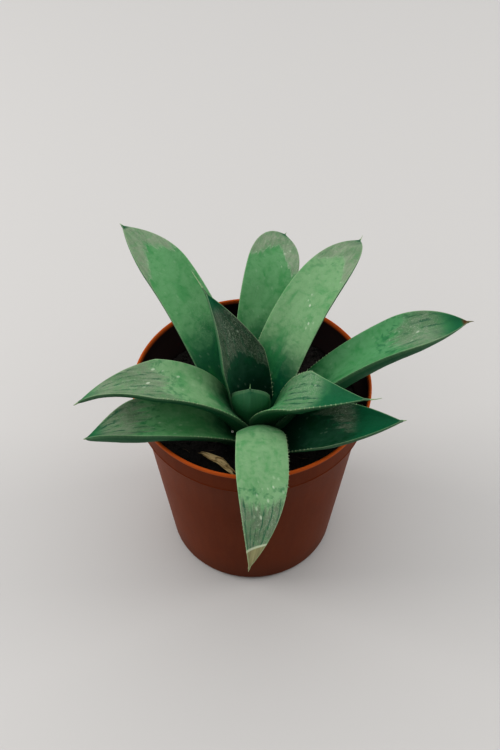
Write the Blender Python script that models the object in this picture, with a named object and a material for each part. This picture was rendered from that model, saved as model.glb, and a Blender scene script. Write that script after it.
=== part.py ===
"""Potted succulent: a rosette of eleven fleshy, channelled leaves with toothed margins and bristle
tips, growing from a short crown in a small tapered plastic nursery pot.

The origin is the middle of the pot's underside, +Z is up, and the leaf that arches over the rim
points towards -Y. Sizes are in millimetres and angles in degrees, and MM turns them into metres.
"""
import math
from collections import namedtuple

import bmesh
import bpy
from mathutils import Vector

MM = 0.001
GAP = 0.3                       # clearance between pieces that touch

# The pot: a tapered body, a collar that is a little wider, and a thin rounded lip
POT_HEIGHT = 82.0
POT_LIP_RADIUS = 42.5
POT_COLLAR_TOP_RADIUS = 41.9
POT_COLLAR_FOOT_RADIUS = 41.3
POT_COLLAR_DEPTH = 10.0
POT_BODY_TOP_RADIUS = 39.8
POT_BASE_RADIUS = 31.6
POT_FOOT_CORNER = 3.0           # radius of the rounded edge round the base
POT_WALL = 1.0
POT_FLOOR = 1.2
POT_SIDES = 48
LIP_HEIGHT = 1.6
DRAIN_HOLES = 6
DRAIN_HOLE_RADIUS = 3.0
DRAIN_CIRCLE_RADIUS = 21.0

# The crown that the leaves grow from, off the pot's middle towards the viewer, with its root below.
# The outlines are points of radius and height.
CROWN_X = 0.5
CROWN_Y = -12.0
CROWN_TOP = 72.0
CROWN_WAIST = 66.0              # height of the crown's widest place
ROOT_FOOT = 48.0
CROWN_OUTLINE = ((3.0, ROOT_FOOT), (4.5, 52.0), (5.0, 60.0), (7.5, 63.5), (8.5, CROWN_WAIST),
                 (7.5, 68.2), (5.5, 70.0), (3.0, 71.3), (0.0, CROWN_TOP))
CROWN_SIDES = 24

# The soil, nearly level, with a dip that the plant stands in and a hole for the root
SOIL_TOP = 68.5
SOIL_ROUGHNESS = 0.5
SOIL_RINGS = (5.0, 11.5, 16.5, 21.0, 25.5, 30.0, 34.0)
ROOT_HOLE_RADIUS = 5.6
DIP_OUTLINE = ((ROOT_HOLE_RADIUS, ROOT_FOOT - GAP), (ROOT_HOLE_RADIUS, 60.0), (9.5, 62.5),
               (13.0, 65.0), (16.5, SOIL_TOP), (17.5, SOIL_TOP + 3.0))

# The leaves
LEAF_MARGIN = 0.7               # thickness of the horny margin
LEAF_BASE = 0.82                # width at the base, per full width
LEAF_ROOT = 3.0                 # length of each leaf inside the crown, before it is fitted
TOOTH_PITCH = 3.4
TOOTH_FOOT = 0.9
TOOTH_HEIGHT = 0.5
TOOTH_START = 0.14              # where the teeth begin and end, along the leaf
TOOTH_END = 0.955
BRISTLE_RADIUS = 0.35
PATH_STEPS = 60

# Each leaf from the heart outwards. rank sets how far out and how low it leaves the crown. depth is
# its thickness at the midrib. widest is where the blade is widest, taper how full it stays towards
# the tip. climb (angle over level), heading (compass angle from +X towards +Y), roll (about its own
# length) and channel (rise of the margins over the midrib, per half width) are given at the base,
# a third, two thirds and the tip.
LEAF_FIELDS = "name rank length width depth widest taper climb heading roll channel bristle colour"
Leaf = namedtuple("Leaf", LEAF_FIELDS)
LEAVES = (
    Leaf("leaf_01_heart", 0, 23.4, 13.6, 5.0, 0.72, 2.3, (80, 80, 84, 92), (-107, -106, -105, -102),
         (-4, -8, -11, -15), (0.28, 0.28, 0.28, 0.28), 2.5, (0.02, 0.10, 0.05)),
    Leaf("leaf_02_inner", 1, 53.0, 18.2, 5.0, 0.51, 1.08, (92, 71, 55, 39), (123, 128, 131, 134),
         (3, -1, -3, -5), (0.36, 0.37, 0.45, 0.50), 9.0, (0.03, 0.12, 0.06)),
    Leaf("leaf_03_short_right", 2, 57.5, 17.0, 5.0, 0.61, 0.9, (78, 59, 28, 14), (-36, -36, -30, -18),
         (12, 1, -12, -19), (0.28, 0.31, 0.34, 0.30), 5.0, (0.08, 0.22, 0.10)),
    Leaf("leaf_04_left", 3, 74.0, 17.0, 5.3, 0.62, 1.0, (78, 45, 2, -43), (204, 193, 184, 181),
         (-10, 1, 1, -12), (0.16, 0.26, 0.30, 0.35), 3.0, (0.14, 0.33, 0.15)),
    Leaf("leaf_05_back_right", 4, 87.5, 18.5, 5.0, 0.54, 2.5, (77, 43, 9, -24), (54, 56, 56, 64),
         (-9, -3, 7, 3), (0.19, 0.22, 0.24, 0.29), 3.0, (0.13, 0.32, 0.14)),
    Leaf("leaf_06_front", 5, 81.0, 17.0, 5.0, 0.56, 2.0, (78, 32, -4, -25), (-78, -88, -92, -107),
         (2, 4, 12, 19), (-0.37, -0.19, 0.02, 0.23), 1.0, (0.15, 0.34, 0.16)),
    Leaf("leaf_07_back_left", 6, 85.0, 18.0, 5.0, 0.70, 1.9, (54, 45, 26, 2), (132, 128, 129, 134),
         (7, 3, -2, -7), (0.18, 0.22, 0.28, 0.28), 1.5, (0.09, 0.26, 0.11)),
    Leaf("leaf_08_right", 7, 81.0, 17.5, 6.2, 0.69, 1.95, (48, 39, 23, -3), (11, 13, 12, 10),
         (20, 15, 7, -15), (0.33, 0.39, 0.35, 0.29), 2.0, (0.09, 0.26, 0.11)),
    Leaf("leaf_09_low_left", 8, 59.5, 18.5, 5.5, 0.67, 1.7, (55, 30, 6, -23), (206, 201, 195, 187),
         (3, 5, -5, -27), (0.32, 0.34, 0.41, 0.42), 1.0, (0.06, 0.19, 0.08)),
    Leaf("leaf_10_back", 9, 79.0, 19.0, 5.0, 0.68, 2.1, (64, 44, 14, -30), (85.5, 81.5, 78.5, 75.0),
         (-2, -8, -16, -24), (0.19, 0.22, 0.25, 0.28), 2.5, (0.11, 0.27, 0.12)),
    Leaf("leaf_11_low_right", 10, 56.0, 17.5, 4.7, 0.56, 1.6, (46, 42, 28, 14), (-41, -29, -17, -4),
         (-17, -17, -12, -8), (0.28, 0.29, 0.34, 0.38), 1.5, (0.03, 0.12, 0.06)),
)

# A dry strip of old leaf base on the soil, and a grain of perlite between two leaves
STRIP_START = (-19.0, -22.8)
STRIP_END = (-4.0, -32.4)
STRIP_WIDTH = 3.0
STRIP_DEPTH = 1.0
STRIP_ARCH = 1.2
GRAIN_PLACE = (-6.8, -19.1, 77.0)
GRAIN_RADIUS = 0.5


def clear_scene():
    for thing in list(bpy.data.objects):
        bpy.data.objects.remove(thing, do_unlink=True)


def material(name, colour, roughness):
    made = bpy.data.materials.new(name)
    made.use_nodes = True
    shader = made.node_tree.nodes["Principled BSDF"]
    shader.inputs["Base Color"].default_value = (*colour, 1.0)
    shader.inputs["Roughness"].default_value = roughness
    shader.inputs["Metallic"].default_value = 0.0
    return made


def finish(bm, name, colour, roughness, sharp=40):
    """Make the mesh an object, in metres, with its material and smooth shading."""
    bmesh.ops.recalc_face_normals(bm, faces=bm.faces)
    bmesh.ops.scale(bm, vec=(MM, MM, MM), verts=bm.verts)
    mesh = bpy.data.meshes.new(name)
    bm.to_mesh(mesh)
    bm.free()
    mesh.materials.append(material(name, colour, roughness))
    mesh.shade_smooth()
    mesh.set_sharp_from_angle(angle=math.radians(sharp))
    thing = bpy.data.objects.new(name, mesh)
    bpy.context.scene.collection.objects.link(thing)
    return thing


def turned(profile, sides, centre=(0.0, 0.0)):
    """A solid of revolution from (radius, height) points that start and end on its axis."""
    bm = bmesh.new()
    line = [bm.verts.new((centre[0] + r, centre[1], z)) for r, z in profile]
    edges = [bm.edges.new(pair) for pair in zip(line, line[1:])]
    bmesh.ops.spin(bm, geom=line + edges, cent=(*centre, 0.0), axis=(0, 0, 1),
                   angle=math.tau, steps=sides, use_merge=True)
    bmesh.ops.remove_doubles(bm, verts=bm.verts, dist=0.001)
    return bm


def cut(body, cutters):
    """Take the cutters out of the body, and drop any scrap that this leaves loose."""
    group = bpy.data.collections.new("cutters")
    for cutter in cutters:
        group.objects.link(cutter)
    trim = body.modifiers.new("cut", "BOOLEAN")
    trim.operation = "DIFFERENCE"
    trim.operand_type = "COLLECTION"
    trim.solver = "EXACT"
    trim.collection = group
    bpy.context.view_layer.update()
    evaluated = body.evaluated_get(bpy.context.evaluated_depsgraph_get())
    bm = bmesh.new()
    bm.from_mesh(evaluated.to_mesh())
    evaluated.to_mesh_clear()
    body.modifiers.remove(trim)
    keep_largest_body(bm)
    bm.to_mesh(body.data)
    bm.free()
    for cutter in cutters:
        bpy.data.objects.remove(cutter, do_unlink=True)
    bpy.data.collections.remove(group)


def keep_largest_body(bm):
    left = set(bm.verts)
    bodies = []
    while left:
        reached = {left.pop()}
        front = list(reached)
        while front:
            vert = front.pop()
            for edge in vert.link_edges:
                other = edge.other_vert(vert)
                if other not in reached:
                    reached.add(other)
                    front.append(other)
        left -= reached
        bodies.append(reached)
    bodies.sort(key=len)
    scraps = [vert for body in bodies[:-1] for vert in body]
    bmesh.ops.delete(bm, geom=scraps, context="VERTS")


def pot_outer_radius(z):
    """Radius of the tapered body's outside, under the collar."""
    body_top = POT_HEIGHT - POT_COLLAR_DEPTH
    return POT_BASE_RADIUS + (POT_BODY_TOP_RADIUS - POT_BASE_RADIUS) * z / body_top


def make_pot():
    collar_foot = POT_HEIGHT - POT_COLLAR_DEPTH
    lip_foot = POT_HEIGHT - LIP_HEIGHT
    corner = [(POT_BASE_RADIUS - POT_FOOT_CORNER, 0.0)]
    for step in (30, 60, 90):
        turn = math.radians(step)
        corner.append((pot_outer_radius(POT_FOOT_CORNER) - POT_FOOT_CORNER * (1 - math.sin(turn)),
                       POT_FOOT_CORNER * (1 - math.cos(turn))))
    outside = [(0.0, 0.0)] + corner + [
        (POT_BODY_TOP_RADIUS, collar_foot - 1.0),
        (POT_COLLAR_FOOT_RADIUS, collar_foot),
        (POT_COLLAR_TOP_RADIUS, lip_foot),
        (POT_LIP_RADIUS, lip_foot + 0.4),
        (POT_LIP_RADIUS, POT_HEIGHT - 0.4),
        (POT_LIP_RADIUS - 0.4, POT_HEIGHT),
    ]
    inside = [
        (POT_LIP_RADIUS - 1.1, POT_HEIGHT),
        (POT_COLLAR_TOP_RADIUS - POT_WALL, POT_HEIGHT - 0.8),
        (POT_COLLAR_FOOT_RADIUS - POT_WALL, collar_foot),
        (POT_BODY_TOP_RADIUS - POT_WALL, collar_foot - 2.0),
        (pot_outer_radius(POT_FOOT_CORNER + 1.0) - POT_WALL, POT_FOOT_CORNER + 1.0),
        (POT_BASE_RADIUS - POT_FOOT_CORNER, POT_FLOOR),
        (0.0, POT_FLOOR),
    ]
    pot = finish(turned(outside + inside, POT_SIDES), "pot", (0.20, 0.05, 0.025), 0.45)
    drills = []
    for index in range(DRAIN_HOLES):
        turn = math.tau * (index + 0.5) / DRAIN_HOLES
        drill = bmesh.new()
        bmesh.ops.create_cone(drill, cap_ends=True, segments=12, radius1=DRAIN_HOLE_RADIUS,
                              radius2=DRAIN_HOLE_RADIUS, depth=4 * POT_FLOOR)
        bmesh.ops.translate(drill, verts=drill.verts,
                            vec=(DRAIN_CIRCLE_RADIUS * math.cos(turn),
                                 DRAIN_CIRCLE_RADIUS * math.sin(turn), 0.0))
        drills.append(finish(drill, "drill", (0, 0, 0), 1.0))
    cut(pot, drills)
    return pot


def crown_profile(grow=0.0):
    """The crown and its root, grown all round by a clearance."""
    points = [(0.0, ROOT_FOOT - grow)]
    for radius, height in CROWN_OUTLINE:
        lift = grow if height > CROWN_WAIST else 0.0
        lift = -grow if height == ROOT_FOOT else lift
        points.append((radius + grow if radius else 0.0, height + lift))
    return points


def make_crown():
    bm = turned(crown_profile(), CROWN_SIDES, (CROWN_X, CROWN_Y))
    return finish(bm, "crown", (0.16, 0.14, 0.07), 0.7)


def soil_height(x, y):
    """The uneven surface of the soil."""
    long_wave = math.sin(x * 0.21 + 1.0) * math.cos(y * 0.17 - 0.4)
    short_wave = math.sin(x * 0.63 - y * 0.41) * math.cos(y * 0.58 + x * 0.2 + 2.0)
    return SOIL_TOP + SOIL_ROUGHNESS * (long_wave + short_wave)


def make_soil():
    def edge(z):
        return pot_outer_radius(z) - POT_WALL - 2 * GAP

    floor = POT_FLOOR + GAP
    foot = POT_FOOT_CORNER + 1.2
    profile = [(0.0, SOIL_TOP)] + [(radius, SOIL_TOP) for radius in SOIL_RINGS]
    profile += [(edge(SOIL_TOP), SOIL_TOP), (edge(foot), foot),
                (POT_BASE_RADIUS - POT_FOOT_CORNER - 1.0, floor), (0.0, floor)]
    bm = turned(profile, POT_SIDES)
    for vert in bm.verts:
        if vert.co.z > SOIL_TOP - 1.0:
            vert.co.z = soil_height(vert.co.x, vert.co.y)
    soil = finish(bm, "soil", (0.012, 0.011, 0.010), 0.95)
    dip = [(0.0, DIP_OUTLINE[0][1]), *DIP_OUTLINE, (0.0, DIP_OUTLINE[-1][1])]
    cut(soil, [finish(turned(dip, CROWN_SIDES, (CROWN_X, CROWN_Y)), "dip", (0, 0, 0), 1.0)])
    return soil


def between(values, along):
    """A smooth value at a place from 0 to 1 along evenly spaced values (Catmull-Rom)."""
    last = len(values) - 1
    place = min(max(along, 0.0), 1.0) * last
    index = min(int(place), last - 1)
    t = place - index
    points = [2 * values[0] - values[1], *values, 2 * values[last] - values[last - 1]]
    a, b, c, d = points[index:index + 4]
    return 0.5 * (2 * b + (c - a) * t + (2 * a - 5 * b + 4 * c - d) * t ** 2
                  + (3 * b - a - 3 * c + d) * t ** 3)


def leaf_direction(leaf, along):
    climb = math.radians(between(leaf.climb, along))
    heading = math.radians(between(leaf.heading, along))
    return Vector((math.cos(climb) * math.cos(heading),
                   math.cos(climb) * math.sin(heading), math.sin(climb)))


def leaf_axes(leaf, along):
    """The blade's length, its width and the way that its upper face looks."""
    forward = leaf_direction(leaf, along)
    heading = math.radians(between(leaf.heading, along))
    roll = math.radians(between(leaf.roll, along))
    level = Vector((math.sin(heading), -math.cos(heading), 0.0))
    up = level.cross(forward)
    side = level * math.cos(roll) + up * math.sin(roll)
    return forward, side, side.cross(forward)


def leaf_path(leaf):
    """Points along the midrib, evenly spaced from the base to the tip."""
    heading = math.radians(leaf.heading[0])
    out = 1.5 + 0.6 * leaf.rank
    point = Vector((CROWN_X + out * math.cos(heading), CROWN_Y + out * math.sin(heading),
                    73.0 - 0.3 * leaf.rank))
    path = [point]
    for step in range(PATH_STEPS):
        point = point + leaf_direction(leaf, (step + 0.5) / PATH_STEPS) * leaf.length / PATH_STEPS
        path.append(point)
    return path


def point_on(path, along):
    place = min(max(along, 0.0), 1.0) * PATH_STEPS
    index = min(int(place), PATH_STEPS - 1)
    return path[index].lerp(path[index + 1], place - index)


def width_share(leaf, along):
    """The blade's width at a place along it, as a share of its full width."""
    if along < leaf.widest:
        return LEAF_BASE + (1 - LEAF_BASE) * math.sin(max(along, 0.0) / leaf.widest * math.pi / 2)
    return 1 - ((along - leaf.widest) / (1 - leaf.widest)) ** leaf.taper


def blade_section(leaf, path, along):
    """The outline of the blade across its length: a channelled top and a round, thick underside."""
    forward, side, up = leaf_axes(leaf, along)
    centre = point_on(path, along)
    if along < 0:
        centre = centre + forward * along * leaf.length
    share = width_share(leaf, along)
    half = max(leaf.width / 2 * share, BRISTLE_RADIUS)
    depth = LEAF_MARGIN + (leaf.depth - LEAF_MARGIN) * share ** 0.8
    rise = between(leaf.channel, along) * half
    top = [(across, rise * across ** 2) for across in (-1.0, -0.55, 0.0, 0.55, 1.0)]
    below = [(across, rise * across ** 2 - LEAF_MARGIN
              - (depth - LEAF_MARGIN) * math.sqrt(1 - across ** 2))
             for across in (1.0, 0.72, 0.0, -0.72, -1.0)]
    return [centre + side * half * across + up * height for across, height in top + below]


def leaf_stations(leaf):
    """Places of the blade's sections, in pairs a tooth's foot apart, and which pairs have teeth."""
    places = [-LEAF_ROOT / leaf.length, 0.02, 0.08]
    toothed = []
    place = TOOTH_START
    while place + TOOTH_FOOT / leaf.length < TOOTH_END:
        toothed.append(len(places))
        places += [place, place + TOOTH_FOOT / leaf.length]
        place += TOOTH_PITCH / leaf.length
    return places + [0.985, 1.0], toothed


def make_leaf(leaf, name, grow=0.0):
    """One leaf, or with grow a copy that is larger all round by that clearance."""
    path = leaf_path(leaf)
    places, toothed = leaf_stations(leaf)
    bm = bmesh.new()
    rings = []
    for along in places:
        rings.append([bm.verts.new(point) for point in blade_section(leaf, path, along)])
    bm.faces.new(rings[0])
    teeth = []
    right_margin = 4
    left_margin = 9
    for index, (near, far) in enumerate(zip(rings, rings[1:])):
        for corner in range(len(near)):
            after = (corner + 1) % len(near)
            face = bm.faces.new((near[corner], near[after], far[after], far[corner]))
            if index in toothed and corner in (right_margin, left_margin):
                teeth.append(face)
    tip = bm.verts.new(path[-1] + leaf_direction(leaf, 1.0) * leaf.bristle)
    for corner in range(len(rings[-1])):
        bm.faces.new((rings[-1][corner], rings[-1][(corner + 1) % len(rings[-1])], tip))
    bmesh.ops.recalc_face_normals(bm, faces=bm.faces)
    bmesh.ops.poke(bm, faces=teeth, offset=TOOTH_HEIGHT)
    bm.normal_update()
    if grow:
        moved = [(vert, vert.co + vert.normal * grow * vert.calc_shell_factor()) for vert in bm.verts]
        for vert, place in moved:
            vert.co = place
    return finish(bm, name, leaf.colour, 0.5, 50)


def make_leaves():
    """Each leaf is fitted to the crown and clasps the younger leaves inside it."""
    for index, leaf in enumerate(LEAVES):
        crown_room = turned(crown_profile(GAP), CROWN_SIDES, (CROWN_X, CROWN_Y))
        rooms = [finish(crown_room, "crown_room", (0, 0, 0), 1.0)]
        rooms += [make_leaf(younger, "leaf_room", GAP) for younger in LEAVES[:index]]
        cut(make_leaf(leaf, leaf.name), rooms)


def make_strip():
    """The dry strip: a thin arched blade with a ridge, tapering to both ends."""
    bm = bmesh.new()
    start = Vector((*STRIP_START, 0.0))
    end = Vector((*STRIP_END, 0.0))
    along = (end - start).normalized()
    side = Vector((-along.y, along.x, 0.0))
    rings = []
    steps = 8
    for step in range(steps + 1):
        place = step / steps
        centre = start.lerp(end, place) + side * 0.8 * math.sin(place * math.pi * 1.5)
        half = STRIP_WIDTH / 2 * (0.35 + 0.65 * math.sin(math.pi * (0.1 + 0.8 * place)))
        base = soil_height(centre.x, centre.y) + 2 * GAP + STRIP_ARCH * math.sin(math.pi * place)
        outline = ((-1.0, 0.2), (-0.5, 0.9), (0.0, 0.6), (0.5, 1.0), (1.0, 0.2), (0.4, 0.0), (-0.4, 0.0))
        rings.append([bm.verts.new(centre + side * half * across
                                   + Vector((0.0, 0.0, base + STRIP_DEPTH * high)))
                      for across, high in outline])
    bm.faces.new(rings[0])
    bm.faces.new(rings[-1])
    for near, far in zip(rings, rings[1:]):
        for corner in range(len(near)):
            after = (corner + 1) % len(near)
            bm.faces.new((near[corner], near[after], far[after], far[corner]))
    return finish(bm, "dry_strip", (0.30, 0.24, 0.12), 0.8)


def make_grain():
    bm = bmesh.new()
    bmesh.ops.create_icosphere(bm, subdivisions=1, radius=GRAIN_RADIUS)
    bmesh.ops.scale(bm, vec=(1.0, 0.85, 0.9), verts=bm.verts)
    bmesh.ops.translate(bm, vec=GRAIN_PLACE, verts=bm.verts)
    return finish(bm, "perlite_grain", (0.75, 0.73, 0.68), 0.9)


clear_scene()
make_pot()
make_soil()
make_crown()
make_leaves()
make_strip()
make_grain()
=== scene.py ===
# A potted succulent: eleven fleshy, toothed leaves in a rosette, in a small terracotta-coloured nursery pot.
# Sizes are in millimetres and angles in degrees. A piece is built in millimetres and set down in metres.
import math
import random
from collections import namedtuple

import bmesh
import bpy
from mathutils import Matrix, Vector
from mathutils.noise import noise as lumps


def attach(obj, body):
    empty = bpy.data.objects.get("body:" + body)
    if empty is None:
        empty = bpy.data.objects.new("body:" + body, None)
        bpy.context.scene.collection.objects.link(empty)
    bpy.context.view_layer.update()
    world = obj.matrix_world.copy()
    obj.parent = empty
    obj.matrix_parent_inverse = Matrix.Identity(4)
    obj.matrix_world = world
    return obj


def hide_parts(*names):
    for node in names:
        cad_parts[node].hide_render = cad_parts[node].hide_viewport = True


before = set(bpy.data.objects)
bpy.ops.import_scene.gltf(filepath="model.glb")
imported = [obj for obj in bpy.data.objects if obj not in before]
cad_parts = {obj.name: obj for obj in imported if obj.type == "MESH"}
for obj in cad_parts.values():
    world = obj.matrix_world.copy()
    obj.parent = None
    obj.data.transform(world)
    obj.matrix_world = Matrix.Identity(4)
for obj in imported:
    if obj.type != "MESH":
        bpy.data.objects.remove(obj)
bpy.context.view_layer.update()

# The pot: one thin moulding of terracotta-coloured plastic. Its tapered body carries a collar that is
# a little wider, under a thin rolled lip, and a fine bead runs round the collar's foot. Six drainage
# holes are punched through the flat base.
MM = 0.001
POT_HEIGHT = 82.0
POT_LIP_RADIUS = 42.5
POT_COLLAR_TOP_RADIUS = 41.9
POT_COLLAR_FOOT_RADIUS = 41.3
POT_COLLAR_DEPTH = 10.0
POT_BODY_TOP_RADIUS = 39.8
POT_BASE_RADIUS = 31.6
POT_FOOT_CORNER = 3.0
POT_WALL = 1.0
POT_FLOOR = 1.2
POT_BEAD = 0.3
LIP_HEIGHT = 1.6
LIP_ROUNDING = 0.55
POT_STEPS = 144
DRAIN_HOLES = 6
DRAIN_HOLE_RADIUS = 3.0
DRAIN_CIRCLE_RADIUS = 21.0


class Field:
    """A node socket that takes part in sums written as ordinary Python."""

    def __init__(self, tree, socket=None):
        self.tree = tree
        self.socket = socket

    def node(self, kind, settings=None, inputs=None, output=0):
        """Any node: its type, its settings, and then the values or fields for its sockets."""
        made = self.tree.nodes.new("ShaderNode" + kind)
        for name, value in (settings or {}).items():
            setattr(made, name, value)
        for name, value in (inputs or {}).items():
            self.feed(self.find(made.inputs, name), value)
        return Field(self.tree, self.find(made.outputs, output))

    def find(self, sockets, name):
        if isinstance(name, int):
            return sockets[name]
        return next(socket for socket in sockets if name in (socket.identifier, socket.name))

    def feed(self, socket, value):
        if isinstance(value, Field):
            self.tree.links.new(value.socket, socket)
        elif socket.type == "RGBA":
            socket.default_value = (*value, 1.0)
        else:
            socket.default_value = value

    def sum(self, operation, *values):
        return self.node("Math", {"operation": operation}, dict(enumerate(values)))

    def __add__(self, other):
        return self.sum("ADD", self, other)

    def __radd__(self, other):
        return self.sum("ADD", other, self)

    def __sub__(self, other):
        return self.sum("SUBTRACT", self, other)

    def __rsub__(self, other):
        return self.sum("SUBTRACT", other, self)

    def __mul__(self, other):
        return self.sum("MULTIPLY", self, other)

    def __rmul__(self, other):
        return self.sum("MULTIPLY", other, self)

    def __abs__(self):
        return self.sum("ABSOLUTE", self)

    def parts(self):
        """The three numbers of a vector."""
        return [self.node("SeparateXYZ", None, {"Vector": self}, axis) for axis in "XYZ"]

    def vector(self, x, y, z):
        return self.node("CombineXYZ", None, {"X": x, "Y": y, "Z": z})

    def ease(self, low, high):
        """0 under low, 1 over high, with a soft step between them."""
        return self.node("MapRange", {"interpolation_type": "SMOOTHSTEP"},
                         {"Value": self, "From Min": low, "From Max": high})

    def mottle(self, scale, detail=2.0, twist=0.0):
        """Cloudy noise from 0 to 1 at this place."""
        return self.node("TexNoise", None,
                         {"Vector": self, "Scale": scale, "Detail": detail, "Distortion": twist})

    def cells(self, scale, output="Distance"):
        return self.node("TexVoronoi", None, {"Vector": self, "Scale": scale}, output)

    def blend(self, first, second):
        """The first colour where this is 0, and the second where it is 1."""
        return self.node("Mix", {"data_type": "RGBA"},
                         {"Factor_Float": self, "A_Color": first, "B_Color": second}, "Result_Color")

    def times(self, colour, shade):
        """A colour made lighter or darker by a number or a field."""
        shade = self.vector(shade, shade, shade) if isinstance(shade, Field) else (shade,) * 3
        return self.node("VectorMath", {"operation": "MULTIPLY"}, {0: colour, 1: shade})

    def relief(self, height, depth):
        """The surface's normal with this height, which is depth mm from low to high."""
        return self.node("Bump", None, {"Height": height, "Distance": depth * MM}, "Normal")


def new_finish(name, **constants):
    """A material, its nodes as a field to start from, and its shader."""
    made = bpy.data.materials.new(name)
    made.use_nodes = True
    shader = made.node_tree.nodes["Principled BSDF"]
    for socket, value in constants.items():
        shader.inputs[socket.replace("_", " ")].default_value = value
    return made, Field(made.node_tree), shader


def place_in_mm(start):
    """The place on the piece, in millimetres."""
    place = start.node("TexCoord", None, None, "Object")
    return start.node("VectorMath", {"operation": "SCALE"}, {0: place, "Scale": 1 / MM})


def set_down(bm, name, finishes, replaces=(), sharp=40):
    """Make a bmesh in millimetres a piece in metres that rides on the plant."""
    bmesh.ops.scale(bm, vec=(MM, MM, MM), verts=bm.verts)
    mesh = bpy.data.meshes.new(name)
    bm.to_mesh(mesh)
    bm.free()
    for finish in finishes:
        mesh.materials.append(finish)
    mesh.shade_smooth()
    mesh.set_sharp_from_angle(angle=math.radians(sharp))
    piece = bpy.data.objects.new(name, mesh)
    bpy.context.scene.collection.objects.link(piece)
    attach(piece, "root")
    if replaces:
        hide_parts(*replaces)
    return piece


def turned(profile, steps, centre=(0.0, 0.0)):
    """A solid of revolution from (radius, height) points that start and end on its axis."""
    bm = bmesh.new()
    line = [bm.verts.new((centre[0] + r, centre[1], z)) for r, z in profile]
    edges = [bm.edges.new(pair) for pair in zip(line, line[1:])]
    bmesh.ops.spin(bm, geom=line + edges, cent=(*centre, 0.0), axis=(0, 0, 1),
                   angle=math.tau, steps=steps, use_merge=True)
    bmesh.ops.remove_doubles(bm, verts=bm.verts, dist=0.001)
    bmesh.ops.recalc_face_normals(bm, faces=bm.faces)
    return bm


def wrapped(bm, around, rows, place):
    """A closed skin: a grid wrapped round an axis. place sets each vertex from its share of the length
    and its turn round the axis, and both ends run to a point."""
    grid = bmesh.ops.create_grid(bm, x_segments=around, y_segments=rows, size=0.5)
    for vert in grid["verts"]:
        share = round((vert.co.y + 0.5) * rows) / rows
        place(vert, share, math.tau * (round((vert.co.x + 0.5) * around) % around) / around)
    bmesh.ops.remove_doubles(bm, verts=grid["verts"], dist=0.0001)


def arc(centre, radius, start, end, points):
    """(radius, height) points on an arc, between two angles from the outward direction."""
    turns = [math.radians(start + (end - start) * step / points) for step in range(points + 1)]
    return [(centre[0] + radius * math.cos(turn), centre[1] + radius * math.sin(turn)) for turn in turns]


def body_radius(z):
    """Radius of the tapered body's outside, under the collar."""
    return POT_BASE_RADIUS + (POT_BODY_TOP_RADIUS - POT_BASE_RADIUS) * z / (POT_HEIGHT - POT_COLLAR_DEPTH)


def punch(piece, drills):
    """Take the drills out of the piece."""
    trim = piece.modifiers.new("holes", "BOOLEAN")
    trim.operation = "DIFFERENCE"
    trim.solver = "EXACT"
    trim.operand_type = "COLLECTION"
    trim.collection = bpy.data.collections.new("drills")
    for drill in drills:
        trim.collection.objects.link(drill)
    bpy.context.view_layer.update()
    cut = bpy.data.meshes.new_from_object(piece.evaluated_get(bpy.context.evaluated_depsgraph_get()))
    piece.modifiers.clear()
    piece.data = cut
    for drill in drills:
        bpy.data.objects.remove(drill, do_unlink=True)


def pot_plastic(name, shaded_inside):
    """Satin moulded plastic: brown-red, faint flow clouds, scuffs and a darker, mottled foot. Painted light makes
    the lip lighter, where its thin edge faces up and glows. Inside, painted shade makes the wall near-black up to
    the lip."""
    made, start, shader = new_finish(name, Specular_IOR_Level=0.10, IOR=1.35,
                                     Subsurface_Weight=0.05, Subsurface_Radius=(2.0, 0.5, 0.2),
                                     Subsurface_Scale=MM)
    place = place_in_mm(start)
    x, y, z = place.parts()
    clouds = place.mottle(0.045, 3.0, 0.6)
    flow = start.vector(x * 0.5, y * 0.5, z * 0.04).mottle(1.0, 3.0)
    fine = place.mottle(1.6, 3.0)
    scuffs = start.vector(x * 0.35, y * 0.35, z * 1.6).mottle(1.0, 4.0, 1.5).ease(0.62, 0.72)
    # Painted light: a lighter band on the lip, where its thin edge faces up into the light and glows through.
    lit_lip = z.ease(POT_HEIGHT - LIP_HEIGHT - 0.3, POT_HEIGHT - 0.7)
    foot = 1.0 - z.ease(1.0, 16.0)
    colour = clouds.blend((0.105, 0.020, 0.004), (0.150, 0.031, 0.007))
    colour = start.times(colour, 0.84 + flow * 0.32)
    colour = (scuffs * 0.22).blend(colour, (0.26, 0.11, 0.06))
    colour = (foot * (0.2 + clouds * 0.4)).blend(colour, (0.08, 0.027, 0.014))
    colour = lit_lip.blend(colour, (0.42, 0.088, 0.014))
    # Painted shade: inside the pot the wall is made near-black from the floor to just under the lip, where it lies
    # in shade.
    if shaded_inside:
        inside_shade = 1.0 - z.ease(POT_HEIGHT - 1.8, POT_HEIGHT - 0.6) * 0.9
        colour = inside_shade.blend(colour, clouds.blend((0.010, 0.008, 0.009), (0.022, 0.010, 0.008)))
    start.feed(shader.inputs["Base Color"], colour)
    start.feed(shader.inputs["Roughness"], 0.40 + fine * 0.10 + scuffs * 0.12)
    start.feed(shader.inputs["Normal"], start.relief(clouds * 0.6 + flow * 0.3 + fine * 0.1, 0.10))
    return made


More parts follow.
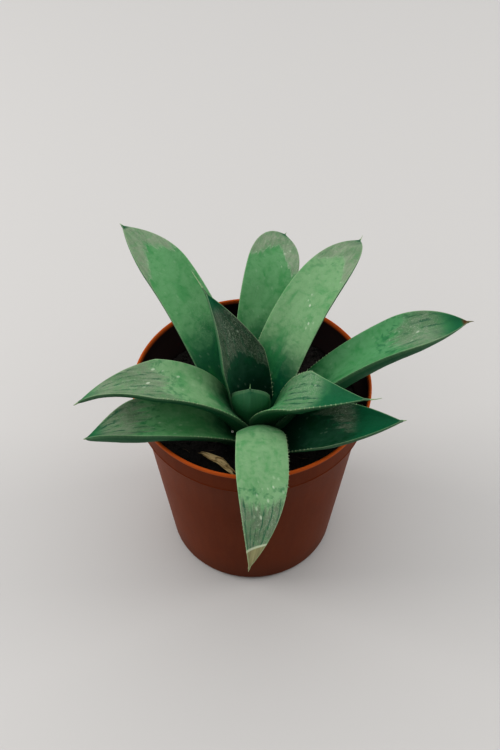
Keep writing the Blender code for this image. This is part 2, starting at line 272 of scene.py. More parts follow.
def make_pot():
    collar_foot = POT_HEIGHT - POT_COLLAR_DEPTH
    lip_foot = POT_HEIGHT - LIP_HEIGHT
    lip_middle = POT_LIP_RADIUS - LIP_ROUNDING
    corner_radius = body_radius(POT_FOOT_CORNER) - POT_FOOT_CORNER
    outside = [(0.0, 0.0), (POT_BASE_RADIUS - 2 * POT_FOOT_CORNER, 0.0)]
    outside += arc((corner_radius, POT_FOOT_CORNER), POT_FOOT_CORNER, -90, 0, 8)
    outside += [(body_radius(z), z) for z in (12.0, 30.0, 50.0, collar_foot - 2.2)]
    outside += [(POT_BODY_TOP_RADIUS + 0.1, collar_foot - 1.2)]
    outside += arc((POT_COLLAR_FOOT_RADIUS - 0.1, collar_foot), POT_BEAD, -90, 60, 6)
    outside += [(POT_COLLAR_FOOT_RADIUS + 0.05, collar_foot + 0.7), (POT_COLLAR_TOP_RADIUS, lip_foot)]
    outside += arc((lip_middle, lip_foot + LIP_ROUNDING), LIP_ROUNDING, -50, 0, 3)
    outside += arc((lip_middle, POT_HEIGHT - LIP_ROUNDING), LIP_ROUNDING, 0, 180, 10)
    inside = [
        (POT_COLLAR_TOP_RADIUS - POT_WALL, lip_foot - 0.6),
        (POT_COLLAR_FOOT_RADIUS - POT_WALL, collar_foot),
        (POT_BODY_TOP_RADIUS - POT_WALL, collar_foot - 2.0),
        (body_radius(POT_FOOT_CORNER + 1.0) - POT_WALL, POT_FOOT_CORNER + 1.0),
        (POT_BASE_RADIUS - POT_FOOT_CORNER, POT_FLOOR),
        (0.0, POT_FLOOR),
    ]
    bm = turned(outside + inside, POT_STEPS)
    # The faces of the inside wall take the second finish, which carries painted shade.
    for face in bm.faces:
        middle = face.calc_center_median()
        outward = face.normal.x * middle.x + face.normal.y * middle.y
        face.material_index = int(outward < 0 and POT_FLOOR < middle.z < POT_HEIGHT - LIP_ROUNDING)
    finishes = [pot_plastic("terracotta_plastic", False), pot_plastic("inside_painted_shade", True)]
    pot = set_down(bm, "moulded_pot", finishes, ["pot"], 35)
    drills = []
    for index in range(DRAIN_HOLES):
        turn = math.tau * (index + 0.5) / DRAIN_HOLES
        drill = bmesh.new()
        bmesh.ops.create_cone(drill, cap_ends=True, segments=32, radius1=DRAIN_HOLE_RADIUS * MM,
                              radius2=DRAIN_HOLE_RADIUS * MM, depth=4 * POT_FLOOR * MM)
        bmesh.ops.translate(drill, verts=drill.verts,
                            vec=Vector((math.cos(turn), math.sin(turn), 0.0)) * DRAIN_CIRCLE_RADIUS * MM)
        mesh = bpy.data.meshes.new("drill")
        drill.to_mesh(mesh)
        drill.free()
        drills.append(bpy.data.objects.new("drill", mesh))
    punch(pot, drills)


make_pot()

# The soil: dark, damp potting soil that fills the pot to 13 mm under the lip. Its top is uneven, and
# loose crumbs and a few root fibres lie on it. It sinks a little round the plant.
SOIL_TOP = 68.5
SOIL_GAP = 0.3
SOIL_ROUGHNESS = 0.5
CROWN_X = 0.5
CROWN_Y = -12.0
DIP_RADIUS = 16.5
DIP_DEPTH = 6.0
ROOT_HOLE_RADIUS = 5.6
SOIL_RINGS = 46
CRUMBS = 1500
FIBRES = 26


def soil_height(x, y):
    """The surface of the soil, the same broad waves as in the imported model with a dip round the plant."""
    long_wave = math.sin(x * 0.21 + 1.0) * math.cos(y * 0.17 - 0.4)
    short_wave = math.sin(x * 0.63 - y * 0.41) * math.cos(y * 0.58 + x * 0.2 + 2.0)
    reach = math.hypot(x - CROWN_X, y - CROWN_Y)
    dip = DIP_DEPTH * (1 - min(max((reach - ROOT_HOLE_RADIUS) / (DIP_RADIUS - ROOT_HOLE_RADIUS), 0.0), 1.0)) ** 1.4
    return SOIL_TOP + SOIL_ROUGHNESS * (long_wave + short_wave) - dip


def damp_soil():
    """Near-black peat with brown crumbs and a damp sheen in places."""
    made, start, shader = new_finish("damp_soil", Specular_IOR_Level=0.3)
    place = place_in_mm(start)
    crumbs = place.cells(0.9)
    clouds = place.mottle(0.25, 4.0)
    grit = place.mottle(3.0, 4.0)
    colour = (clouds * 0.7 + grit * 0.3).blend((0.0045, 0.0045, 0.006), (0.028, 0.022, 0.017))
    colour = grit.ease(0.68, 0.74).blend(colour, (0.055, 0.040, 0.028))
    start.feed(shader.inputs["Base Color"], colour)
    start.feed(shader.inputs["Roughness"], 0.78 + clouds * 0.2)
    start.feed(shader.inputs["Normal"], start.relief(grit + crumbs, 0.7))
    return made


def root_fibre():
    made, start, shader = new_finish("root_fibre", Roughness=0.85)
    tint = place_in_mm(start).mottle(0.7, 2.0)
    start.feed(shader.inputs["Base Color"], tint.blend((0.025, 0.017, 0.010), (0.11, 0.075, 0.042)))
    return made


def make_soil():
    edge = body_radius(SOIL_TOP) - POT_WALL - 2 * SOIL_GAP
    foot = POT_FOOT_CORNER + 1.2
    profile = [(edge * ring / SOIL_RINGS, SOIL_TOP) for ring in range(SOIL_RINGS + 1)]
    profile += [(body_radius(foot) - POT_WALL - 2 * SOIL_GAP, foot),
                (POT_BASE_RADIUS - POT_FOOT_CORNER - 1.0, POT_FLOOR + SOIL_GAP), (0.0, POT_FLOOR + SOIL_GAP)]
    bm = turned(profile, POT_STEPS)
    for vert in bm.verts:
        if vert.co.z > SOIL_TOP - 1.0:
            x, y, z = vert.co
            grain = 0.55 * lumps(Vector((x * 0.55, y * 0.55, 2.0))) + 0.25 * lumps(Vector((x * 1.5, y * 1.5, 7.0)))
            vert.co.z = soil_height(x, y) + grain
    soil = damp_soil()
    set_down(bm, "potting_soil", [soil], ["soil"], 60)

    draw = random.Random(11)
    bm = bmesh.new()
    for index in range(CRUMBS):
        reach = edge * 0.985 * math.sqrt(draw.random())
        turn = math.tau * draw.random()
        x, y = reach * math.cos(turn), reach * math.sin(turn)
        size = 0.25 + 0.75 * draw.random() ** 3
        squash = Matrix.Diagonal((draw.uniform(0.7, 1.2), draw.uniform(0.7, 1.2), draw.uniform(0.5, 0.9), 1.0))
        spot = Matrix.Translation((x, y, soil_height(x, y) + size * 0.25))
        lump = bmesh.ops.create_icosphere(bm, subdivisions=1, radius=size,
                                          matrix=spot @ Matrix.Rotation(draw.uniform(0, math.tau), 4, "Z") @ squash)
        for vert in lump["verts"]:
            vert.co += Vector([draw.uniform(-0.18, 0.18) * size for axis in range(3)])
    set_down(bm, "soil_crumbs", [soil], sharp=70)

    bm = bmesh.new()
    for index in range(FIBRES):
        reach = (edge - 5.0) * math.sqrt(draw.random())
        turn = math.tau * draw.random()
        middle = Vector((reach * math.cos(turn), reach * math.sin(turn), 0.0))
        heading = draw.uniform(0, math.tau)
        lie = Vector((math.cos(heading), math.sin(heading), 0.0))
        side = Vector((-lie.y, lie.x, 0.0))
        length = draw.uniform(2.5, 6.5)
        bend = draw.uniform(-1.5, 1.5)

        def strand(vert, share, turn):
            girth = 0.16 * math.sin(math.pi * share) ** 0.5
            spot = middle + lie * length * (share - 0.5) + side * bend * (share - 0.5) ** 2
            high = soil_height(spot.x, spot.y) + 0.45 + girth * math.sin(turn)
            vert.co = spot + side * girth * math.cos(turn) + Vector((0.0, 0.0, high))

        wrapped(bm, 5, 8, strand)
    bmesh.ops.recalc_face_normals(bm, faces=bm.faces)
    set_down(bm, "root_fibres", [root_fibre()])


make_soil()

# The crown: the short pale stem that the leaves grow from, with its root in the soil. It is hidden by
# the leaves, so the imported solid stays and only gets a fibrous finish.


def stem_bark():
    made, start, shader = new_finish("stem_bark", Roughness=0.8)
    x, y, z = place_in_mm(start).parts()
    strands = start.vector(x, y, z * 0.2).mottle(1.1, 4.0, 0.5)
    start.feed(shader.inputs["Base Color"], strands.blend((0.07, 0.06, 0.03), (0.30, 0.27, 0.15)))
    start.feed(shader.inputs["Normal"], start.relief(strands, 0.5))
    return made


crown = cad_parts["crown"]
crown.data.materials.clear()
crown.data.materials.append(stem_bark())

# The leaves: thick, juicy blades with a channelled upper face and a round, keeled underside. A pale
# horny margin carries fine teeth, and the tip runs out in a bristle. Towards the tip the skin turns
# into a greyish window with dark veins. The youngest leaf stands in the middle, and the others clasp it.
LEAF_MARGIN = 0.7
LEAF_BASE = 0.82
LEAF_ROOT = 3.0
BRISTLE_RADIUS = 0.35
BRISTLE_TIP_RADIUS = 0.04
TOOTH_PITCH = 1.45
TOOTH_HEIGHT = 0.5
PATH_STEPS = 60
LEAF_ROWS = 168
LEAF_AROUND = 56
BLADE_SHARE = 0.94              # share of the rows that the blade has, before the bristle
KEEL = 0.7

# rank, length, width, depth, widest and taper give the blade's size and outline. climb, heading, roll
# and channel are at the base, a third, two thirds and the tip. lift is how far the bristle bends up.
# base is where the deep green of the leaf's foot ends, and the column after it is how strong that green is: partly
# the leaf's own colour, partly painted shade. window is where the window starts in the middle, at the right-hand
# margin and at the left-hand margin, then how jagged its edge is. grey is how strongly it covers the green and how
# pale it is.
# veins is the strength of its veins, and deep_tip is where the leaf turns deep green again. teeth are the toothed
# stretches of the right-hand and left-hand margins.
# specks are the middle (across, along) of a cluster of pale specks and its strength.
LEAF_FIELDS = "name node rank length width depth widest taper climb heading roll channel bristle lift"
LEAF_FIELDS += " green base depth_of_foot window grey veins deep_tip teeth specks tip"
Leaf = namedtuple("Leaf", LEAF_FIELDS)
PALE = (0.138, 0.290, 0.135)
FRESH = (0.088, 0.255, 0.102)
MIDDLE = (0.068, 0.235, 0.092)
# A much darker green for the heart, the inner leaf and the low right leaf under its neighbour: partly their own
# deeper colour, partly painted shade.
DEEP_AND_SHADED = (0.004, 0.045, 0.019)
GREEN_TIP = (0.015, 0.090, 0.040)
BROWN_TIP = (0.090, 0.035, 0.012)
STRAW_TIP = (0.240, 0.230, 0.120)
NEVER = (1.0, 0.0)
LEAVES = (
    Leaf("heart_leaf", "leaf_01_heart", 0, 23.4, 13.6, 5.0, 0.72, 2.3,
         (80, 80, 84, 92), (-107, -106, -105, -102), (-4, -8, -11, -15), (0.28, 0.28, 0.28, 0.28), 2.5, 0.0,
         DEEP_AND_SHADED, 0.9, 1.0, (1.2, 1.2, 1.2, 0.0), (0.0, 1.0), 0.0, 1.2, (NEVER, NEVER), (0, 0, 0), GREEN_TIP),
    Leaf("inner_leaf", "leaf_02_inner", 1, 53.0, 18.2, 5.0, 0.51, 1.08,
         (92, 71, 55, 39), (123, 128, 131, 134), (3, -1, -3, -5), (0.36, 0.37, 0.45, 0.50), 9.0, -0.2,
         DEEP_AND_SHADED, 0.42, 1.0, (0.56, 0.40, 0.47, 0.04), (0.60, 0.42), 0.4, 0.90, ((0.18, 0.34), NEVER),
         (0.3, 0.7, 0.6), GREEN_TIP),
    Leaf("short_right_leaf", "leaf_03_short_right", 2, 57.5, 17.0, 5.0, 0.61, 0.9,
         (78, 59, 28, 14), (-36, -36, -30, -18), (12, 1, -12, -19), (0.28, 0.31, 0.34, 0.30), 5.0, 1.2,
         MIDDLE, 0.20, 0.8, (0.44, 0.50, 0.34, 0.10), (0.45, 0.75), 1.5, 0.74, ((0.10, 0.90), (0.25, 0.62)),
         (-0.6, 0.6, 0.5), GREEN_TIP),
    Leaf("left_leaf", "leaf_04_left", 3, 74.0, 17.0, 5.3, 0.62, 1.0,
         (78, 45, 2, -43), (204, 193, 184, 181), (-10, 1, 1, -12), (0.16, 0.26, 0.30, 0.35), 3.0, 0.0,
         PALE, 0.30, 0.95, (0.58, 0.63, 0.52, 0.05), (0.70, 0.70), 0.8, 0.93, (NEVER, (0.14, 0.62)),
         (0.2, 0.60, 1.0), GREEN_TIP),
    Leaf("back_right_leaf", "leaf_05_back_right", 4, 87.5, 18.5, 5.0, 0.54, 2.5,
         (77, 43, 9, -24), (54, 56, 56, 64), (-9, -3, 7, 3), (0.19, 0.22, 0.24, 0.29), 3.0, 1.5,
         PALE, 0.33, 1.0, (0.80, 0.65, 0.73, 0.012), (0.80, 0.95), 0.3, 0.99, ((0.10, 0.30), (0.12, 0.36)),
         (0.3, 0.52, 1.0), GREEN_TIP),
    Leaf("front_leaf", "leaf_06_front", 5, 81.0, 17.0, 5.0, 0.56, 2.0,
         (78, 32, -4, -25), (-78, -88, -92, -107), (2, 4, 12, 19), (-0.37, -0.19, 0.02, 0.23), 1.0, 0.0,
         PALE, 0.33, 0.45, (0.765, 0.75, 0.715, 0.03), (0.80, 0.50), 1.0, 1.2, ((0.80, 0.93), (0.30, 0.72)),
         (-0.3, 0.74, 0.8), STRAW_TIP),
    Leaf("back_left_leaf", "leaf_07_back_left", 6, 85.0, 18.0, 5.0, 0.70, 1.9,
         (54, 45, 26, 2), (132, 128, 129, 134), (7, 3, -2, -7), (0.18, 0.22, 0.28, 0.28), 1.5, 0.0,
         FRESH, 0.44, 0.9, (0.83, 0.77, 0.67, 0.035), (0.85, 1.0), 0.15, 1.2, (NEVER, NEVER),
         (0.2, 0.45, 0.1), GREEN_TIP),
    Leaf("right_leaf", "leaf_08_right", 7, 81.0, 17.5, 6.2, 0.69, 1.95,
         (48, 39, 23, -3), (11, 13, 12, 10), (20, 15, 7, -15), (0.33, 0.39, 0.35, 0.29), 2.0, 0.0,
         MIDDLE, 0.34, 0.8, (0.66, 0.72, 0.74, 0.06), (0.70, 0.80), 0.9, 0.90, (NEVER, (0.15, 0.42)),
         (-0.2, 0.80, 0.6), BROWN_TIP),
    Leaf("low_left_leaf", "leaf_09_low_left", 8, 59.5, 18.5, 5.5, 0.67, 1.7,
         (55, 30, 6, -23), (206, 201, 195, 187), (3, 5, -5, -27), (0.32, 0.34, 0.41, 0.42), 1.0, 0.0,
         FRESH, 0.22, 0.9, (0.66, 0.60, 0.70, 0.10), (0.80, 0.75), 1.2, 0.93, (NEVER, (0.15, 0.45)),
         (-0.3, 0.55, 0.4), GREEN_TIP),
    Leaf("back_leaf", "leaf_10_back", 9, 79.0, 19.0, 5.0, 0.68, 2.1,
         (64, 44, 14, -30), (85.5, 81.5, 78.5, 75), (-2, -8, -16, -24), (0.19, 0.22, 0.25, 0.28), 2.5, 0.6,
         FRESH, 0.42, 0.75, (0.825, 0.66, 0.70, 0.03), (0.90, 1.05), 0.1, 0.99, (NEVER, (0.10, 0.35)),
         (0.5, 0.78, 0.6), GREEN_TIP),
    Leaf("low_right_leaf", "leaf_11_low_right", 10, 56.0, 17.5, 4.7, 0.56, 1.6,
         (46, 42, 28, 14), (-41, -29, -17, -4), (-17, -17, -12, -8), (0.28, 0.29, 0.34, 0.38), 1.5, 0.0,
         DEEP_AND_SHADED, 0.40, 1.0, (0.62, 0.90, 0.40, 0.08), (0.60, 0.55), 1.2, 0.74, ((0.10, 0.50), (0.30, 0.75)),
         (-0.4, 0.66, 0.4), GREEN_TIP),
)


def between(values, along):
    """A smooth value at a place from 0 to 1 along evenly spaced values (Catmull-Rom)."""
    last = len(values) - 1
    place = min(max(along, 0.0), 1.0) * last
    index = min(int(place), last - 1)
    t = place - index
    points = [2 * values[0] - values[1], *values, 2 * values[last] - values[last - 1]]
    a, b, c, d = points[index:index + 4]
    return 0.5 * (2 * b + (c - a) * t + (2 * a - 5 * b + 4 * c - d) * t ** 2
                  + (3 * b - a - 3 * c + d) * t ** 3)


def leaf_direction(leaf, along):
    climb = math.radians(between(leaf.climb, along))
    heading = math.radians(between(leaf.heading, along))
    return Vector((math.cos(climb) * math.cos(heading), math.cos(climb) * math.sin(heading), math.sin(climb)))


def leaf_axes(leaf, along):
    """The blade's length, its width and the way that its upper face looks."""
    forward = leaf_direction(leaf, along)
    heading = math.radians(between(leaf.heading, along))
    roll = math.radians(between(leaf.roll, along))
    level = Vector((math.sin(heading), -math.cos(heading), 0.0))
    side = level * math.cos(roll) + level.cross(forward) * math.sin(roll)
    return forward, side, side.cross(forward)


def leaf_path(leaf):
    """Points along the midrib, evenly spaced from the base to the tip."""
    heading = math.radians(leaf.heading[0])
    out = 1.5 + 0.6 * leaf.rank
    point = Vector((CROWN_X + out * math.cos(heading), CROWN_Y + out * math.sin(heading), 73.0 - 0.3 * leaf.rank))
    path = [point]
    for step in range(PATH_STEPS):
        point = point + leaf_direction(leaf, (step + 0.5) / PATH_STEPS) * leaf.length / PATH_STEPS
        path.append(point)
    return path


def width_share(leaf, along):
    """The blade's width at a place along it, as a share of its full width."""
    if along < leaf.widest:
        return LEAF_BASE + (1 - LEAF_BASE) * math.sin(max(along, 0.0) / leaf.widest * math.pi / 2)
    return 1 - ((along - leaf.widest) / (1 - leaf.widest)) ** leaf.taper


class Station:
    """The blade's cross-section at a distance along it: its middle, its axes and its sizes."""

    def __init__(self, leaf, path, reach):
        self.along = min(max(reach / leaf.length, 0.0), 1.0)
        self.reach = reach
        self.forward, self.side, self.up = leaf_axes(leaf, self.along)
        place = self.along * PATH_STEPS
        index = min(int(place), PATH_STEPS - 1)
        self.middle = path[index].lerp(path[index + 1], place - index)
        if reach < 0:
            self.middle = self.middle + self.forward * reach
        beyond = max(reach / leaf.length - 1, 0.0) * leaf.length / leaf.bristle
        self.middle = self.middle + self.forward * beyond * leaf.bristle
        self.middle = self.middle + Vector((0.0, 0.0, leaf.lift * beyond ** 2))
        share = width_share(leaf, self.along)
        needle = BRISTLE_RADIUS + (BRISTLE_TIP_RADIUS - BRISTLE_RADIUS) * beyond ** 0.6
        self.half = max(leaf.width / 2 * share, needle)
        self.rim = min(LEAF_MARGIN / 2, self.half)
        self.depth = (leaf.depth - LEAF_MARGIN) * share ** 0.8
        self.rise = between(leaf.channel, self.along) * self.half
        self.keel = KEEL * math.exp(-((self.along - 0.82) / 0.16) ** 2)

    def surface(self, turn):
        """A point round the section, from the right-hand margin over the top to the left and back under."""
        across = math.cos(turn)
        round_margin = math.sqrt(1 - across ** 8)
        height = self.rise * across ** 2 - self.rim
        if math.sin(turn) >= 0:
            height += self.rim * round_margin
        else:
            height -= self.rim * round_margin + self.depth * abs(math.sin(turn))
            height -= self.keel * math.exp(-(across / 0.16) ** 2)
        return self.middle + self.side * self.half * across + self.up * height


def leaf_skin(leaf, seed):
    """Living leaf: deep green at its foot, lighter and mottled in the middle, a greyish window with dark
    veins towards the tip, a thin pale margin and pale specks. The deep green foot and the darker underside
    are partly the leaf's own colour and partly painted shade."""
    made, start, shader = new_finish(leaf.name + "_skin", Subsurface_Weight=0.12, Specular_IOR_Level=0.13,
                                     IOR=1.4, Subsurface_Radius=(0.6, 1.4, 0.6), Subsurface_Scale=MM)
    across, along, under = start.node("Attribute", {"attribute_name": "blade"}, None, "Vector").parts()
    wide, long, rim = start.node("Attribute", {"attribute_name": "skin"}, None, "Vector").parts()
    skin = start.vector(wide, long, seed * 7.3)
    clouds = start.vector(wide, long * 0.6, seed * 5.1).mottle(0.17, 4.0, 0.8)
    patches = skin.mottle(0.50, 5.0, 0.4)
    grain = skin.mottle(2.4, 3.0)
    streaks = start.vector(wide * 1.4, long * 0.16, seed * 3.7).mottle(1.0, 4.0, 0.3)
    upper = 1.0 - under

    # Deep green at the foot, partly the leaf's own colour and partly painted shade from the leaves over it, then
    # the leaf's own green, mottled with paler and deeper patches
    light = tuple(value * shade + 0.01 for value, shade in zip(leaf.green, (1.30, 1.14, 1.25)))
    deep_foot_and_shade = (0.002, 0.030, 0.015) if leaf.green is DEEP_AND_SHADED else (0.002, 0.088, 0.038)
    colour = (clouds * 0.5 + patches * 0.5).ease(0.30, 0.70).blend(leaf.green, light)
    bow = leaf.base - across * across * 0.05
    foot = 1.0 - (along - bow + (clouds - 0.5) * 0.24 + (patches - 0.5) * 0.10).ease(-0.13, 0.09)
    colour = (foot * leaf.depth_of_foot).blend(colour, deep_foot_and_shade)
    fresh = tuple(value * shade for value, shade in zip(leaf.green, (0.35, 0.85, 0.60)))
    colour = (clouds.ease(0.50, 0.30) * 0.45 + patches.ease(0.48, 0.28) * 0.25).blend(colour, fresh)

    # The window, whose edge is jagged or drawn out in fingers along the veins
    opening, right, left, jag = leaf.window
    cover, paleness = leaf.grey
    lines = across * 19.0 + streaks * 7.0 + clouds * 3.0
    ridge = lines.sum("SINE", lines)
    fingers = start.vector(across * 7.0, along * 4.0, seed * 1.9).mottle(1.0, 3.0)
    sided = across.ease(0.05, 1.0) * (right - opening) + (0.0 - across).ease(0.05, 1.0) * (left - opening)
    edge = opening + sided + (fingers - 0.5) * (jag * 4.0) + (patches - 0.5) * (jag * 0.8)
    inside = (along - edge).ease(-0.012 - jag * 0.2, 0.02 + jag * 0.5) * upper
    inside = inside * (1.0 - along.ease(leaf.deep_tip - 0.05, leaf.deep_tip + 0.02))
    glass = (streaks * 0.5 + clouds * 0.5).ease(0.35, 0.65).blend((0.150, 0.215, 0.135), (0.250, 0.290, 0.215))
    glass = start.times(glass, paleness)
    colour = (inside * cover * (0.65 + 0.35 * patches.ease(0.30, 0.60))).blend(colour, glass)
    broken = start.vector(across * 4.0, along * 10.0, seed * 2.3).mottle(1.0, 4.0).ease(0.42, 0.58)
    veins = ridge.ease(0.35, 0.95) * broken * inside * min(leaf.veins, 1.0)
    colour = (veins * 0.8).blend(colour, (0.010, 0.095, 0.045))
    seam = (1.0 - abs(along - edge - 0.006).ease(0.001, 0.010)) * upper * min(cover * paleness, 1.0)
    spots = skin.cells(0.8).ease(0.42, 0.22)
    colour = (seam * (0.22 + 0.55 * spots)).blend(colour, (0.33, 0.42, 0.30))
    bay = (1.0 - abs(along - edge + 0.03).ease(0.01, 0.05)) * upper * patches.ease(0.54, 0.38)
    colour = (bay * 0.50 * min(leaf.veins, 1.0)).blend(colour, (0.012, 0.110, 0.050))

    # Pale specks and fine scratches, most of them in one cluster
    speck_across, speck_along, specks = leaf.specks
    cluster = (1.0 - abs(along - speck_along).ease(0.03, 0.14)) * (1.0 - abs(across - speck_across).ease(0.2, 0.8))
    smudge = start.vector(wide * 0.8, long * 0.55 + wide * 0.3, seed)
    chosen = smudge.cells(0.75, "Color").parts()[0].ease(0.72, 0.76)
    dots = smudge.cells(0.75).ease(0.34, 0.14) * chosen * (0.10 + cluster * specks)
    scratch = start.vector(wide * 0.7, long * 0.30, seed).mottle(1.0, 4.0, 2.5)
    scratch = 1.0 - abs(scratch - 0.5).ease(0.003, 0.016)
    colour = (dots * upper * 0.8).blend(colour, (0.50, 0.58, 0.45))
    colour = (scratch * (inside * 0.35 + cluster * 0.2) * upper).blend(colour, (0.38, 0.46, 0.34))

    # The deep green tip, the underside with painted shade, the dry end and the horny margin
    deep = (along + (clouds - 0.5) * 0.16 + (patches - 0.5) * 0.06).ease(leaf.deep_tip - 0.08, leaf.deep_tip + 0.05)
    colour = (deep * 0.9).blend(colour, (0.003, 0.090, 0.038))
    # The underside: a darker green, partly its own colour and partly painted shade.
    underside_and_shade = clouds.blend((0.006, 0.070, 0.030), (0.022, 0.130, 0.052))
    underside_and_shade = (along.ease(0.55, 0.95) * streaks * 0.4).blend(underside_and_shade, (0.09, 0.17, 0.09))
    colour = under.blend(colour, underside_and_shade)
    colour = start.times(colour, 0.90 + 0.20 * grain)
    if leaf.tip is STRAW_TIP:
        fold = along - across * 0.0225 - 0.9225
        colour = fold.ease(-0.002, 0.004).blend(colour, start.times(leaf.tip, 0.4 + streaks))
        colour = (0.8 - abs(fold).ease(0.002, 0.007) * 0.8).blend(colour, (0.45, 0.50, 0.36))
    else:
        colour = along.ease(0.965, 0.985).blend(colour, leaf.tip)
    margin = 1.0 - rim.ease(0.12, 0.40)
    colour = (margin * (0.10 + 0.55 * grain) * (0.35 + 0.65 * upper)).blend(colour, (0.28, 0.38, 0.23))
    start.feed(shader.inputs["Base Color"], colour)
    start.feed(shader.inputs["Roughness"], 0.46 + grain * 0.16 - inside * 0.05)
    height = grain * 0.30 + patches * 0.5 + clouds * 0.6 + streaks * 0.25 - veins * 0.4 + dots * 0.3
    start.feed(shader.inputs["Normal"], start.relief(height, 0.20))
    return made


def horn():
    """The teeth and bristles: pale, hard and slightly clear."""
    made, start, shader = new_finish("horny_teeth", Roughness=0.42, Subsurface_Weight=0.25,
                                     Subsurface_Radius=(1.0, 1.0, 0.8), Subsurface_Scale=MM)
    tint = place_in_mm(start).mottle(0.8, 1.0)
    start.feed(shader.inputs["Base Color"], tint.blend((0.10, 0.22, 0.09), (0.32, 0.40, 0.23)))
    return made


def make_leaf(leaf, tooth_finish):
    path = leaf_path(leaf)
    whole = leaf.length + leaf.bristle
    stations = []
    for row in range(LEAF_ROWS + 1):
        share = row / LEAF_ROWS
        if share < BLADE_SHARE:
            eased = 1 - (1 - share / BLADE_SHARE) ** 1.3
            reach = -LEAF_ROOT + (leaf.length + LEAF_ROOT) * eased
        else:
            reach = leaf.length + leaf.bristle * (share - BLADE_SHARE) / (1 - BLADE_SHARE)
        stations.append(Station(leaf, path, min(reach, whole)))

    bm = bmesh.new()
    blade = bm.verts.layers.float_vector.new("blade")
    skin = bm.verts.layers.float_vector.new("skin")

    def on_leaf(vert, share, turn):
        station = stations[round(share * LEAF_ROWS)]
        across = math.cos(turn)
        vert[blade] = (across, station.along, 0.5 - 0.5 * min(max(math.sin(turn) * 12, -1), 1))
        vert[skin] = (across * station.half, station.reach, (1 - abs(across)) * station.half)
        if share in (0, 1):
            vert.co = station.middle - station.up * station.depth / 2
            return
        swell = lumps(Vector((across * station.half * 0.16, station.reach * 0.11, leaf.rank * 3.0)))
        swell += 0.4 * lumps(Vector((across * station.half * 0.45, station.reach * 0.30, leaf.rank * 5.0)))
        calm = min(station.half / 6.0, 1.0) * abs(math.sin(turn))
        vert.co = station.surface(turn) + station.up * 0.22 * swell * calm

    wrapped(bm, LEAF_AROUND, LEAF_ROWS, on_leaf)
    bmesh.ops.recalc_face_normals(bm, faces=bm.faces)

    draw = random.Random(leaf.rank + 40)
    for margin, (first, last) in zip((1, -1), leaf.teeth):
        reach = leaf.length * first
        while reach < leaf.length * last:
            station = Station(leaf, path, reach)
            fade = min(1.0, (leaf.length * last - reach) / 8.0 + 0.35)
            height = TOOTH_HEIGHT * fade * draw.uniform(0.5, 1.15)
            point = (station.side * margin + station.forward * 0.45 + station.up * 0.25).normalized()
            root = station.middle + station.side * margin * (station.half - 0.15)
            root = root + station.up * (station.rise - station.rim)
            turn = point.to_track_quat("Z", "Y").to_matrix().to_4x4()
            spot = Matrix.Translation(root + point * (height / 2))
            tooth = bmesh.ops.create_cone(bm, cap_ends=True, segments=6, radius1=0.24, radius2=0.02,
                                          depth=height + 0.3, matrix=spot @ turn)
            for face in {face for vert in tooth["verts"] for face in vert.link_faces}:
                face.material_index = 1
            reach += TOOTH_PITCH * draw.uniform(0.75, 1.3)
    tip = [v for v in bm.verts if v[skin].y > leaf.length + 0.3 * leaf.bristle]
    if leaf.tip is GREEN_TIP:
        for face in {face for vert in tip for face in vert.link_faces}:
            face.material_index = 1
    set_down(bm, leaf.name, [leaf_skin(leaf, leaf.rank + 1.0), tooth_finish], [leaf.node], 50)


tooth_finish = horn()
for leaf in LEAVES:
    make_leaf(leaf, tooth_finish)

# The dry strip: an old, dead leaf base, split into papery fibres, that lies on the soil near the front
# wall.
STRIP_START = (-19.0, -22.8)
STRIP_END = (-4.0, -32.4)
STRIP_WIDTH = 3.0
STRIP_ARCH = 1.2
STRIP_FIBRES = 9
STRIP_STEPS = 14


def dry_fibre():
    made, start, shader = new_finish("dry_leaf_fibre", Roughness=0.8)
    x, y, z = place_in_mm(start).parts()
    strands = start.vector(x * 0.5 + y * 0.8, (x - y) * 0.08, z).mottle(1.4, 3.0)
    colour = strands.ease(0.35, 0.65).blend((0.30, 0.19, 0.07), (0.80, 0.62, 0.32))
    start.feed(shader.inputs["Base Color"], colour)
    start.feed(shader.inputs["Normal"], start.relief(strands, 0.3))
    return made


def make_strip():
    draw = random.Random(5)
    start = Vector((*STRIP_START, 0.0))
    end = Vector((*STRIP_END, 0.0))
    along = (end - start).normalized()
    side = Vector((-along.y, along.x, 0.0))
    bm = bmesh.new()
    for fibre in range(STRIP_FIBRES):
        middle = (fibre / (STRIP_FIBRES - 1) - 0.5) * STRIP_WIDTH * 0.75
        first = draw.uniform(0.0, 0.16)
        last = draw.uniform(0.82, 1.0)
        splay = draw.uniform(-0.6, 0.6)
        high = draw.uniform(0.1, 0.55)
        thick = 0.28 + 0.04 * (fibre % 3)

        def sliver(vert, share, turn):
            place = first + (last - first) * share
            spread = middle * (0.45 + 0.55 * math.sin(math.pi * place)) + splay * (place - 0.5) ** 2 * 2
            girth = thick * math.sin(math.pi * share) ** 0.4
            centre = start.lerp(end, place) + side * (spread + 0.8 * math.sin(place * math.pi * 1.5))
            lift = soil_height(centre.x, centre.y) + 0.6 + STRIP_ARCH * math.sin(math.pi * place) + high
            vert.co = centre + side * girth * math.cos(turn)
            vert.co.z = lift + girth * 0.5 * math.sin(turn)

        wrapped(bm, 8, STRIP_STEPS, sliver)
    bmesh.ops.recalc_face_normals(bm, faces=bm.faces)
    set_down(bm, "dry_leaf_strip", [dry_fibre()], ["dry_strip"])


make_strip()

# The perlite: one white, porous grain that has caught between two leaves.
GRAIN_PLACE = (-6.8, -19.1, 77.0)
GRAIN_RADIUS = 0.5


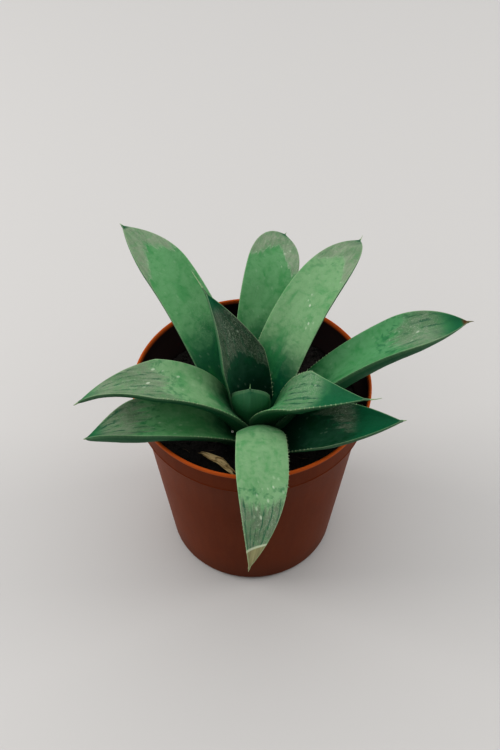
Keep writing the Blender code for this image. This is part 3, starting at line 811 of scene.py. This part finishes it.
def perlite():
    made, start, shader = new_finish("perlite", Roughness=0.9, Subsurface_Weight=0.2,
                                     Subsurface_Radius=(1.0, 1.0, 1.0), Subsurface_Scale=0.3 * MM)
    pores = place_in_mm(start).cells(3.5)
    start.feed(shader.inputs["Base Color"], pores.blend((0.55, 0.52, 0.46), (0.85, 0.83, 0.78)))
    start.feed(shader.inputs["Normal"], start.relief(pores, 0.2))
    return made


bm = bmesh.new()
bmesh.ops.create_icosphere(bm, subdivisions=3, radius=GRAIN_RADIUS)
for vert in bm.verts:
    vert.co *= 1.0 + 0.12 * lumps(vert.co * 3.0)
bmesh.ops.scale(bm, vec=(1.0, 0.85, 0.9), verts=bm.verts)
bmesh.ops.translate(bm, vec=GRAIN_PLACE, verts=bm.verts)
set_down(bm, "perlite_bead", [perlite()], ["perlite_grain"], 60)

# The studio: a plain pale floor, a big soft light above and behind on the left, and pale surroundings.
# The camera looks down on the plant from in front.
FLOOR_SIZE = 12000.0
CAMERA_CLIMB = 48.034           # the camera's height over the level
CAMERA_DISTANCE = 367.9
CAMERA_TARGET = Vector((-0.731, 0.0, 85.082))
CAMERA_LENS = 50.0              # for a picture 36 mm high


def make_floor():
    made, start, shader = new_finish("pale_floor", Roughness=0.9, Specular_IOR_Level=0.1)
    start.feed(shader.inputs["Base Color"], (0.535, 0.528, 0.520))
    bm = bmesh.new()
    bmesh.ops.create_grid(bm, x_segments=1, y_segments=1, size=FLOOR_SIZE / 2 * MM)
    mesh = bpy.data.meshes.new("floor")
    bm.to_mesh(mesh)
    bm.free()
    mesh.materials.append(made)
    floor = bpy.data.objects.new("floor", mesh)
    bpy.context.scene.collection.objects.link(floor)


def make_lamp(name, place, target, width, height, power, colour):
    data = bpy.data.lights.new(name, "AREA")
    data.shape = "RECTANGLE"
    data.size = width
    data.size_y = height
    data.energy = power
    data.color = colour
    lamp = bpy.data.objects.new(name, data)
    lamp.location = place
    lamp.rotation_euler = (Vector(target) - Vector(place)).to_track_quat("-Z", "Y").to_euler()
    bpy.context.scene.collection.objects.link(lamp)


make_floor()
make_lamp("top_light", (-0.05, 0.10, 1.25), (0.0, 0.0, 0.0), 2.8, 2.6, 22.5, (1.0, 0.995, 0.99))
make_lamp("left_light", (-0.95, 0.10, 0.40), (0.0, 0.0, 0.06), 0.5, 0.5, 5.0, (1.0, 0.97, 0.94))
make_lamp("right_light", (0.95, 0.15, 0.35), (0.0, 0.0, 0.06), 0.4, 0.4, 3.0, (1.0, 0.97, 0.94))

world = bpy.data.worlds.new("pale_room")
world.use_nodes = True
world.node_tree.nodes["Background"].inputs["Color"].default_value = (0.98, 0.99, 1.0, 1.0)
world.node_tree.nodes["Background"].inputs["Strength"].default_value = 0.25
bpy.context.scene.world = world
bpy.context.scene.view_settings.view_transform = "Standard"
bpy.context.scene.view_settings.look = "Medium High Contrast"

data = bpy.data.cameras.new("camera")
data.sensor_fit = "VERTICAL"
data.sensor_height = 36.0
data.lens = CAMERA_LENS
data.clip_start = 0.01
camera = bpy.data.objects.new("camera", data)
climb = math.radians(CAMERA_CLIMB)
back = Vector((0.0, -math.cos(climb), math.sin(climb)))
camera.location = (CAMERA_TARGET + back * CAMERA_DISTANCE) * MM
camera.rotation_euler = (math.pi / 2 - climb, 0.0, 0.0)
bpy.context.scene.collection.objects.link(camera)
bpy.context.scene.camera = camera
